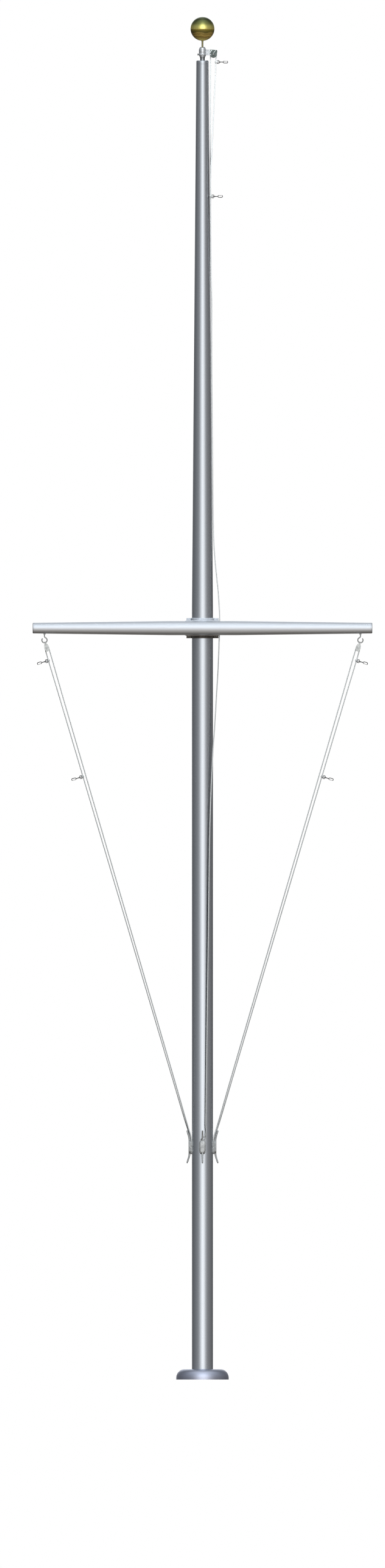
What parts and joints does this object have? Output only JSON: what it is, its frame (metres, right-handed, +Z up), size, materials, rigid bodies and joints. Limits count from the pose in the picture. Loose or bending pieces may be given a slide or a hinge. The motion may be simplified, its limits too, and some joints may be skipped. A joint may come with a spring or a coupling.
{
  "type": "nautical flagpole",
  "caption": "tapered aluminium flagpole with a yardarm, a revolving truck, a gold ball, rope halyards with swivel snaps, side cleats and a spun collar at the ground",
  "frame": {"origin": "centre of the mast at ground level", "axes": "+Z up the mast; X along the yardarm; -Y is the front, where the yardarm and the front cleat are"},
  "size_m": [2.357, 0.365, 9.4465],
  "materials": {
    "satin_aluminium": "satin brushed aluminium, faintly directional",
    "spun_aluminium": "spun aluminium sheet with fine rings",
    "yard_aluminium": "smooth polished aluminium tube",
    "cast_aluminium": "cast aluminium, lightly tumbled",
    "cleat_aluminium": "cast aluminium, satin",
    "aged_brass": "dull olive brass rod",
    "gold_anodised": "mirror-smooth gold anodised aluminium",
    "stainless_steel": "stainless steel, satin",
    "dark_steel": "dark weathered steel",
    "sheave_metal": "turned metal sheave",
    "snap_bronze": "dark nickel-plated swivel snap",
    "halyard_rope": "diamond-braided white polyester rope, weathered grey"
  },
  "bodies": {
    "root": {"mast": "satin_aluminium", "mast_top_plug": "satin_aluminium", "flash_collar": "spun_aluminium", "truck_spindle": "cast_aluminium", "ball_rod": "aged_brass", "ball": "gold_anodised", "yardarm": "yard_aluminium", "yard_end_caps": "yard_aluminium", "yard_saddle": "cast_aluminium", "yard_clamp_band": "cast_aluminium", "yard_clamp_bolts": "stainless_steel", "eye_bolts": "dark_steel", "block_shell_left": "cast_aluminium", "block_shell_right": "cast_aluminium", "cleat_front": "cleat_aluminium", "cleat_left": "cleat_aluminium", "cleat_right": "cleat_aluminium", "mast_halyard": "halyard_rope", "yard_halyard_left": "halyard_rope", "yard_halyard_right": "halyard_rope", "bail_left_upper": "stainless_steel", "bail_left_lower": "stainless_steel", "bail_right_upper": "stainless_steel", "bail_right_lower": "stainless_steel"},
    "truck": {"truck_body": "cast_aluminium", "truck_cap": "cast_aluminium", "truck_set_screws": "dark_steel", "truck_sheave_axle": "dark_steel", "bail_mast_upper": "stainless_steel", "bail_mast_lower": "stainless_steel"},
    "truck_wheel": {"truck_sheave": "dark_steel"},
    "left_wheel": {"block_sheave_left": "sheave_metal"},
    "right_wheel": {"block_sheave_right": "sheave_metal"},
    "hook_mast_upper": {"hook_mast_upper": "snap_bronze"},
    "gate_mast_upper": {"gate_mast_upper": "stainless_steel"},
    "hook_mast_lower": {"hook_mast_lower": "snap_bronze"},
    "gate_mast_lower": {"gate_mast_lower": "stainless_steel"},
    "hook_left_upper": {"hook_left_upper": "snap_bronze"},
    "gate_left_upper": {"gate_left_upper": "stainless_steel"},
    "hook_left_lower": {"hook_left_lower": "snap_bronze"},
    "gate_left_lower": {"gate_left_lower": "stainless_steel"},
    "hook_right_upper": {"hook_right_upper": "snap_bronze"},
    "gate_right_upper": {"gate_right_upper": "stainless_steel"},
    "hook_right_lower": {"hook_right_lower": "snap_bronze"},
    "gate_right_lower": {"gate_right_lower": "stainless_steel"}
  },
  "joints": [
    {"name": "truck_swivel", "type": "hinge", "parent": "root", "child": "truck", "pos_m": [0, 0, 9.1865], "axis": [0, 0, 1], "continuous": true, "deforming": ["mast_halyard"]},
    {"name": "truck_sheave_spin", "type": "hinge", "parent": "truck", "child": "truck_wheel", "pos_m": [0.076, 0, 9.1865], "axis": [0, 1, 0], "continuous": true},
    {"name": "left_sheave_spin", "type": "hinge", "parent": "root", "child": "left_wheel", "pos_m": [-1.081, -0.13, 5.076], "axis": [0, 1, 0], "continuous": true},
    {"name": "right_sheave_spin", "type": "hinge", "parent": "root", "child": "right_wheel", "pos_m": [1.081, -0.13, 5.076], "axis": [0, 1, 0], "continuous": true},
    {"name": "mast_upper_hook_swivel", "type": "hinge", "parent": "truck", "child": "hook_mast_upper", "pos_m": [0.1211, -0.002, 9.133], "axis": [1, 0, 0], "continuous": true},
    {"name": "mast_upper_gate_hinge", "type": "hinge", "parent": "hook_mast_upper", "child": "gate_mast_upper", "pos_m": [0.1476, -0.002, 9.139], "axis": [0, 1, 0], "range_deg": [0, 22], "stiffness_Nm_per_rad": 0.01, "springref_deg": -11.46},
    {"name": "mast_lower_hook_swivel", "type": "hinge", "parent": "truck", "child": "hook_mast_lower", "pos_m": [0.0845, -0.03, 8.202], "axis": [1, 0, 0], "continuous": true},
    {"name": "mast_lower_gate_hinge", "type": "hinge", "parent": "hook_mast_lower", "child": "gate_mast_lower", "pos_m": [0.111, -0.03, 8.208], "axis": [0, 1, 0], "range_deg": [0, 22], "stiffness_Nm_per_rad": 0.01, "springref_deg": -11.46},
    {"name": "left_upper_hook_swivel", "type": "hinge", "parent": "root", "child": "hook_left_upper", "pos_m": [-1.09329, -0.1266, 4.97664], "axis": [-0.9588, 0, -0.284], "continuous": true},
    {"name": "left_upper_gate_hinge", "type": "hinge", "parent": "hook_left_upper", "child": "gate_left_upper", "pos_m": [-1.11699, -0.1266, 4.96336], "axis": [0, 1, 0], "range_deg": [0, 22], "stiffness_Nm_per_rad": 0.01, "springref_deg": -11.46},
    {"name": "left_lower_hook_swivel", "type": "hinge", "parent": "root", "child": "hook_left_lower", "pos_m": [-0.85513, -0.09551, 4.17264], "axis": [-0.9588, 0, -0.284], "continuous": true},
    {"name": "left_lower_gate_hinge", "type": "hinge", "parent": "hook_left_lower", "child": "gate_left_lower", "pos_m": [-0.87884, -0.09551, 4.15936], "axis": [0, 1, 0], "range_deg": [0, 22], "stiffness_Nm_per_rad": 0.01, "springref_deg": -11.46},
    {"name": "right_upper_hook_swivel", "type": "hinge", "parent": "root", "child": "hook_right_upper", "pos_m": [1.09329, -0.1266, 4.97664], "axis": [0.9588, 0, -0.284], "continuous": true},
    {"name": "right_upper_gate_hinge", "type": "hinge", "parent": "hook_right_upper", "child": "gate_right_upper", "pos_m": [1.11699, -0.1266, 4.96336], "axis": [0, -1, 0], "range_deg": [0, 22], "stiffness_Nm_per_rad": 0.01, "springref_deg": -11.46},
    {"name": "right_lower_hook_swivel", "type": "hinge", "parent": "root", "child": "hook_right_lower", "pos_m": [0.85513, -0.09551, 4.17264], "axis": [0.9588, 0, -0.284], "continuous": true},
    {"name": "right_lower_gate_hinge", "type": "hinge", "parent": "hook_right_lower", "child": "gate_right_lower", "pos_m": [0.87884, -0.09551, 4.15936], "axis": [0, -1, 0], "range_deg": [0, 22], "stiffness_Nm_per_rad": 0.01, "springref_deg": -11.46}
  ]
}
